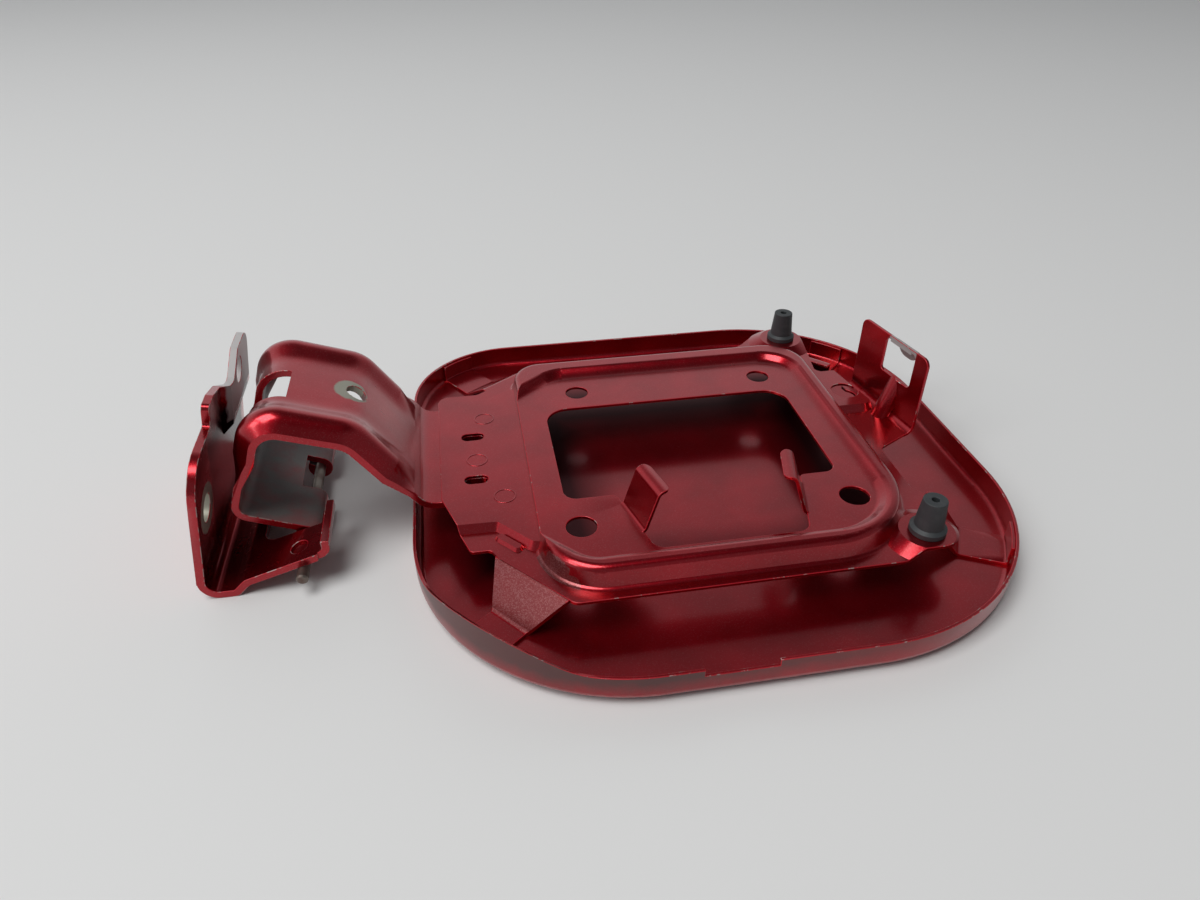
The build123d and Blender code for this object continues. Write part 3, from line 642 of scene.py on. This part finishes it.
def weld_ring_nodes(finish):
    """Geometry Nodes that lay a thin ring, turned to its sheet, on each point of a mesh."""
    tree = bpy.data.node_groups.new("weld_rings", "GeometryNodeTree")
    tree.interface.new_socket("Spots", in_out="INPUT", socket_type="NodeSocketGeometry")
    width = tree.interface.new_socket("Spot width", in_out="INPUT", socket_type="NodeSocketFloat")
    ring = tree.interface.new_socket("Ring thickness", in_out="INPUT", socket_type="NodeSocketFloat")
    tree.interface.new_socket("Rings", in_out="OUTPUT", socket_type="NodeSocketGeometry")
    given = add(tree, "NodeGroupInput").outputs
    half_width = add(tree, "ShaderNodeMath", {0: given[1], 1: 0.5}, operation="MULTIPLY").outputs[0]
    half_ring = add(tree, "ShaderNodeMath", {0: given[2], 1: 0.5}, operation="MULTIPLY").outputs[0]
    path = add(tree, "GeometryNodeCurvePrimitiveCircle", {"Resolution": 48, "Radius": half_width}).outputs[0]
    wire = add(tree, "GeometryNodeCurvePrimitiveCircle", {"Resolution": 8, "Radius": half_ring}).outputs[0]
    round_ring = add(tree, "GeometryNodeCurveToMesh", {0: path, 1: wire}).outputs[0]
    low_ring = add(tree, "GeometryNodeTransform", {0: round_ring, "Scale": (1.0, 1.0, 0.5)}).outputs[0]
    smooth_ring = add(tree, "GeometryNodeSetShadeSmooth", {0: low_ring}).outputs[0]
    outward = add(tree, "GeometryNodeInputNamedAttribute", {0: "outward"}, data_type="FLOAT_VECTOR")
    turn_ends = {"Vector": outward.outputs[0]}
    turn = add(tree, "FunctionNodeAlignRotationToVector", turn_ends, axis="Z").outputs[0]
    points = add(tree, "GeometryNodeMeshToPoints", {0: given[0]}).outputs[0]
    rings = {0: points, "Instance": smooth_ring, "Rotation": turn}
    laid = add(tree, "GeometryNodeInstanceOnPoints", rings).outputs[0]
    real = add(tree, "GeometryNodeRealizeInstances", {0: laid}).outputs[0]
    coated = add(tree, "GeometryNodeSetMaterial", {0: real, "Material": finish}).outputs[0]
    result = add(tree, "NodeGroupOutput")
    tree.links.new(coated, result.inputs[0])
    return tree, width.identifier, ring.identifier


class FUELDOOR_OT_skin(bpy.types.Operator):
    """Outer skin with its turned-up rim"""

    bl_idname = "fuel_door.skin"
    bl_label = "Outer skin"

    def execute(self, context):
        detail = context.scene.fuel_door_detail
        paint = context.scene.fuel_door_paint
        sheet = merged_sheet("outer_panel", detail.edge_round)
        low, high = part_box("outer_panel")
        middle = (Vector(low) + Vector(high)) / 2
        upright = 0.5
        for face in sheet.faces:
            outwards = face.calc_center_median() - middle
            outwards.z = 0
            on_rim = abs(face.normal.z) < upright and face.normal.dot(outwards) > 0
            if face.material_index == FACE_SLOT and on_rim:
                face.material_index = PATCH_SLOT

        # Painted shade: a thin dark red under the inner panel, but not below its window, stands for the
        # shade that the panel casts on the skin
        panel_place, panel_half = Vector((19, 11, 2)) * MM, Vector((59, 45, 12)) * MM
        window_place, window_half = Vector((28, 1, 2)) * MM, Vector((31, 30, 20)) * MM
        under_panel = block(panel_place, panel_half, soft=6 * MM, even_edge=True)
        under_window = block(window_place, window_half, soft=7 * MM, even_edge=True)
        painted_shade_under_panel = Layer(spared(under_panel, under_window), linear("#40070F"), shine=0.9, dull=0.35)

        # Dry overspray that greys the rim's upper part, most of it towards the hinge
        spray = drift(low=3.0 * MM, high=8.5 * MM, near_x=15 * MM, far_x=75 * MM, share=0.85)
        overspray = Layer(spray, paint.dust, shine=0.2, dull=0.5)
        finishes = [
            lacquered_red("metallic_red_skin_with_painted_shade", haze=0.33, layers=[painted_shade_under_panel]),
            chipped_edge("chipped_rim", share=0.2),
            lacquered_red("overspray_on_rim", layers=[overspray]),
        ]
        finished_piece("skin", sheet, finishes, "door", ["outer_panel"])
        return {"FINISHED"}


class FUELDOOR_OT_inner_panel(bpy.types.Operator):
    """Pressed inner panel with its striker, hooks and feet"""

    bl_idname = "fuel_door.inner_panel"
    bl_label = "Inner panel"

    def execute(self, context):
        detail = context.scene.fuel_door_detail
        paint = context.scene.fuel_door_paint
        sheet = merged_sheet("inner_panel", detail.edge_round)
        leg, leg_reach = Vector((-25, -48, 7)) * MM, 11 * MM
        least_up, most_up = 0.2, 0.95
        for face in sheet.faces:
            on_leg = (face.calc_center_median() - leg).length < leg_reach
            if face.material_index == FACE_SLOT and on_leg and least_up < face.normal.z < most_up:
                face.material_index = PATCH_SLOT

        # Road dust on the whole front leg, and grey primer at the tip of the striker
        settled = drift(low=-9 * MM, high=-6 * MM, near_x=-20 * MM, far_x=25 * MM, share=0.6)
        dusty = Layer(settled, paint.dust, shine=0.6, dull=0.3)
        tip_place, tip_half = Vector((91.5, 8, 33)) * MM, Vector((4, 6, 4)) * MM
        tip = Layer(block(tip_place, tip_half, soft=0.5 * MM), paint.primer, shine=0.0, dull=0.5)
        finishes = [
            lacquered_red("metallic_red_panel", layers=[tip]),
            chipped_edge("chipped_panel_edge", share=0.15),
            lacquered_red("coarse_flake_leg", haze=0.28, sparkle=0.6, grain=0.4, layers=[dusty]),
        ]
        finished_piece("pressed_panel", sheet, finishes, "door", ["inner_panel"], PANEL_FEET)
        return {"FINISHED"}


class FUELDOOR_OT_weld_spots(bpy.types.Operator):
    """Rings left on the inner panel by the spot welds that hold the arm"""

    bl_idname = "fuel_door.weld_spots"
    bl_label = "Weld spots"

    def execute(self, context):
        detail = context.scene.fuel_door_detail
        spots = [(-33.1, 23.5, 13.3), (-36.3, 2.4, 13.3), (-29.9, -15.3, 13.3)]
        mesh = bpy.data.meshes.new("weld_spots")
        mesh.from_pydata([Vector(spot) * MM for spot in spots], [], [])
        outward = mesh.attributes.new("outward", "FLOAT_VECTOR", "POINT")
        for entry in outward.data:
            entry.vector = (0.0, 0.0, 1.0)
        piece = bpy.data.objects.new("weld_spots", mesh)
        context.scene.collection.objects.link(piece)
        tree, width, ring = weld_ring_nodes(lacquered_red("metallic_red_weld"))
        rings = piece.modifiers.new("Rings", "NODES")
        rings.node_group = tree
        rings[width] = detail.weld_spot
        rings[ring] = detail.weld_ring
        context.view_layer.update()
        evaluated = piece.evaluated_get(context.evaluated_depsgraph_get())
        piece.data = bpy.data.meshes.new_from_object(evaluated)
        piece.modifiers.remove(rings)
        piece.data.name = "weld_spots"
        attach(piece, "door")
        return {"FINISHED"}


class FUELDOOR_OT_hinge_arm(bpy.types.Operator):
    """Gooseneck arm, primed inside its hook, where the primer is darkened as painted shade"""

    bl_idname = "fuel_door.hinge_arm"
    bl_label = "Hinge arm"

    def execute(self, context):
        detail = context.scene.fuel_door_detail
        paint = context.scene.fuel_door_paint
        sheet = merged_sheet("hinge_arm", detail.edge_round)
        heart, hook_end, facing = Vector((-80, 0, 23)) * MM, -60 * MM, 4 * MM
        # Faces inside the hook take the primer darkened as painted shade
        for face in sheet.faces:
            middle = face.calc_center_median()
            inwards = heart - middle
            inwards.y = 0
            in_hook = middle.x < hook_end and face.normal.dot(inwards) > facing
            if face.material_index == FACE_SLOT and in_hook:
                face.material_index = PATCH_SLOT

        # Bare steel in a ring round the shoulder's hole and in one nick on the slope
        shoulder = ball(Vector((-67.3, 9.0, 35.5)) * MM, detail.shoulder_ring / 2, soft=0.7 * MM)
        nick = ball(Vector((-57.0, -9.5, 31.0)) * MM, radius=1.6 * MM, soft=0.8 * MM)
        worn = [Layer(mask, paint.steel, shine=0.5, dull=0.5) for mask in (shoulder, nick)]
        finishes = [
            lacquered_red("metallic_red_arm", layers=worn),
            chipped_edge("chipped_arm_edge", share=0.35),
            primer_with_painted_shade("primer_with_painted_shade_in_hook", red_drift=0.6),
        ]
        finished_piece("gooseneck", sheet, finishes, "door", ["hinge_arm"])
        return {"FINISHED"}


class FUELDOOR_OT_hinge_base(bpy.types.Operator):
    """Bolt-on base and the pin across it"""

    bl_idname = "fuel_door.hinge_base"
    bl_label = "Hinge base"

    def execute(self, context):
        detail = context.scene.fuel_door_detail
        paint = context.scene.fuel_door_paint
        sheet = merged_sheet("hinge_base", detail.edge_round)
        # Faces turned towards the door take the red with painted shade inside the base
        to_door = 0.5
        for face in sheet.faces:
            if face.material_index == FACE_SLOT and face.normal.x > to_door:
                face.material_index = PATCH_SLOT

        # Ring rubbed bare by the bolt's flange, primer on the rear tab made paler as painted light, and
        # painted shade inside the base: a dark red block that stands for the shade there
        bolt = Vector(frame["record"]["mounts"][0]["pos_m"])
        ring = Layer(ball(bolt, detail.bolt_ring / 2, soft=0.5 * MM), paint.steel, shine=0.5, dull=0.5)
        tab_place, tab_half = Vector((-97.0, 22.0, 44.0)) * MM, Vector((5.2, 15.0, 13.5)) * MM
        # Primer on the rear tab, made paler than the primer elsewhere as painted light
        tab_primer_and_painted_light = Layer(block(tab_place, tab_half, soft=0.7 * MM), linear("#B8B4B3"), shine=0.0, dull=0.5)
        shade_place_in_base, shade_half_in_base = Vector((-98.0, 9.0, 20.0)) * MM, Vector((14.0, 21.0, 15.0)) * MM
        painted_shade_in_base = Layer(block(shade_place_in_base, shade_half_in_base, soft=3 * MM), linear("#1E0508"), shine=0.6, dull=0.25)
        finishes = [
            lacquered_red("metallic_red_base", haze=0.26, layers=[ring, tab_primer_and_painted_light]),
            chipped_edge("chipped_base_edge", share=0.5),
            lacquered_red("red_with_painted_shade_in_base", haze=0.26, layers=[painted_shade_in_base, ring, tab_primer_and_painted_light]),
        ]
        finished_piece("bolt_on_base", sheet, finishes, "hinge_base", ["hinge_base"])
        rod = merged_sheet("hinge_pin", detail.edge_round, FACE_SLOT)
        finished_piece("pin", rod, [bare_steel("drawn_steel_pin")], "hinge_base", ["hinge_pin"])
        return {"FINISHED"}


class FUELDOOR_OT_rubber_stops(bpy.types.Operator):
    """Two moulded rubber stops"""

    bl_idname = "fuel_door.rubber_stops"
    bl_label = "Rubber stops"

    def execute(self, context):
        detail = context.scene.fuel_door_detail
        rubber = moulded_rubber("charcoal_rubber")
        for name in ("front", "rear"):
            stop = merged_sheet("bumper_" + name, detail.edge_round, FACE_SLOT)
            finished_piece("stop_" + name, stop, [rubber], "door", ["bumper_" + name])
        return {"FINISHED"}


class FUELDOOR_OT_stage(bpy.types.Operator):
    """Pale floor, soft light and the camera"""

    bl_idname = "fuel_door.stage"
    bl_label = "Stage"

    def execute(self, context):
        scene = context.scene
        stage = scene.fuel_door_stage
        mesh = bpy.data.meshes.new("floor")
        half = stage.floor_size / 2
        corners = [(-half, -half, 0), (half, -half, 0), (half, half, 0), (-half, half, 0)]
        mesh.from_pydata(corners, [], [(0, 1, 2, 3)])
        mesh.materials.append(board_paint("white_board_paint"))
        floor = bpy.data.objects.new("floor", mesh)
        scene.collection.objects.link(floor)

        world = bpy.data.worlds.new("studio")
        scene.world = world
        world.use_nodes = True
        tree = world.node_tree
        around = add(tree, "ShaderNodeTexCoord").outputs["Generated"]
        way = add(tree, "ShaderNodeSeparateXYZ", {0: around}).outputs
        wall = {
            "Value": way["Z"],
            "From Min": WALL_TOP,
            "From Max": WALL_END,
            "To Min": WALL_LEVEL,
            "To Max": CEILING_LEVEL,
        }
        lift = add(tree, "ShaderNodeMapRange", wall).outputs[0]
        facing = add(tree, "ShaderNodeVectorMath", {0: around, 1: BRIGHT_WAY}, operation="DOT_PRODUCT")
        sides = {
            "Value": facing.outputs["Value"],
            "From Min": DIM_SIDE,
            "From Max": BRIGHT_SIDE,
            "To Min": DIM_SHARE,
        }
        side = add(tree, "ShaderNodeMapRange", sides).outputs[0]
        level = add(tree, "ShaderNodeMath", {0: lift, 1: side}, operation="MULTIPLY").outputs[0]
        sky = tree.nodes["Background"]
        sky.inputs["Color"].default_value = linear("#F2F4F7")
        tree.links.new(level, sky.inputs["Strength"])

        for name, stand, target, size, power in LAMPS:
            light = bpy.data.lights.new(name, "AREA")
            light.size = size
            light.energy = power
            lamp = bpy.data.objects.new(name, light)
            lamp.location = stand
            lamp.rotation_euler = (Vector(target) - Vector(stand)).to_track_quat("-Z", "Y").to_euler()
            scene.collection.objects.link(lamp)

        view = bpy.data.cameras.new("camera")
        view.lens = stage.lens
        view.sensor_width = 36.0
        view.clip_start = 0.01
        camera = bpy.data.objects.new("camera", view)
        camera.location = stage.camera_place
        camera.rotation_euler = stage.camera_turn
        scene.collection.objects.link(camera)
        scene.camera = camera
        scene.view_settings.view_transform = "Standard"
        return {"FINISHED"}


class FUELDOOR_PT_panel(bpy.types.Panel):
    """Sizes, colours and steps of the fuel door"""

    bl_idname = "FUELDOOR_PT_panel"
    bl_label = "Fuel Door"
    bl_space_type = "VIEW_3D"
    bl_region_type = "UI"
    bl_category = "Fuel Door"

    def draw(self, context):
        scene = context.scene
        for settings in (scene.fuel_door_paint, scene.fuel_door_detail, scene.fuel_door_stage):
            box = self.layout.box()
            for key in settings.__annotations__:
                box.prop(settings, key)
        for step in STEPS:
            self.layout.operator(step.bl_idname)


STEPS = (
    FUELDOOR_OT_skin,
    FUELDOOR_OT_inner_panel,
    FUELDOOR_OT_weld_spots,
    FUELDOOR_OT_hinge_arm,
    FUELDOOR_OT_hinge_base,
    FUELDOOR_OT_rubber_stops,
    FUELDOOR_OT_stage,
)
SETTINGS = {
    "fuel_door_paint": PaintSettings,
    "fuel_door_detail": DetailSettings,
    "fuel_door_stage": StageSettings,
}


def register():
    for group in SETTINGS.values():
        bpy.utils.register_class(group)
    for key, group in SETTINGS.items():
        setattr(bpy.types.Scene, key, bpy.props.PointerProperty(type=group))
    for step in STEPS:
        bpy.utils.register_class(step)
    bpy.utils.register_class(FUELDOOR_PT_panel)


def unregister():
    bpy.utils.unregister_class(FUELDOOR_PT_panel)
    for step in reversed(STEPS):
        bpy.utils.unregister_class(step)
    for key, group in SETTINGS.items():
        delattr(bpy.types.Scene, key)
        bpy.utils.unregister_class(group)


def main():
    register()
    for spare in list(bpy.data.objects):
        if spare.type in {"LIGHT", "CAMERA"} or spare.name == "Cube":
            bpy.data.objects.remove(spare)
    bpy.ops.fuel_door.skin()
    bpy.ops.fuel_door.inner_panel()
    bpy.ops.fuel_door.weld_spots()
    bpy.ops.fuel_door.hinge_arm()
    bpy.ops.fuel_door.hinge_base()
    bpy.ops.fuel_door.rubber_stops()
    bpy.ops.fuel_door.stage()


if __name__ == "__main__":
    main()
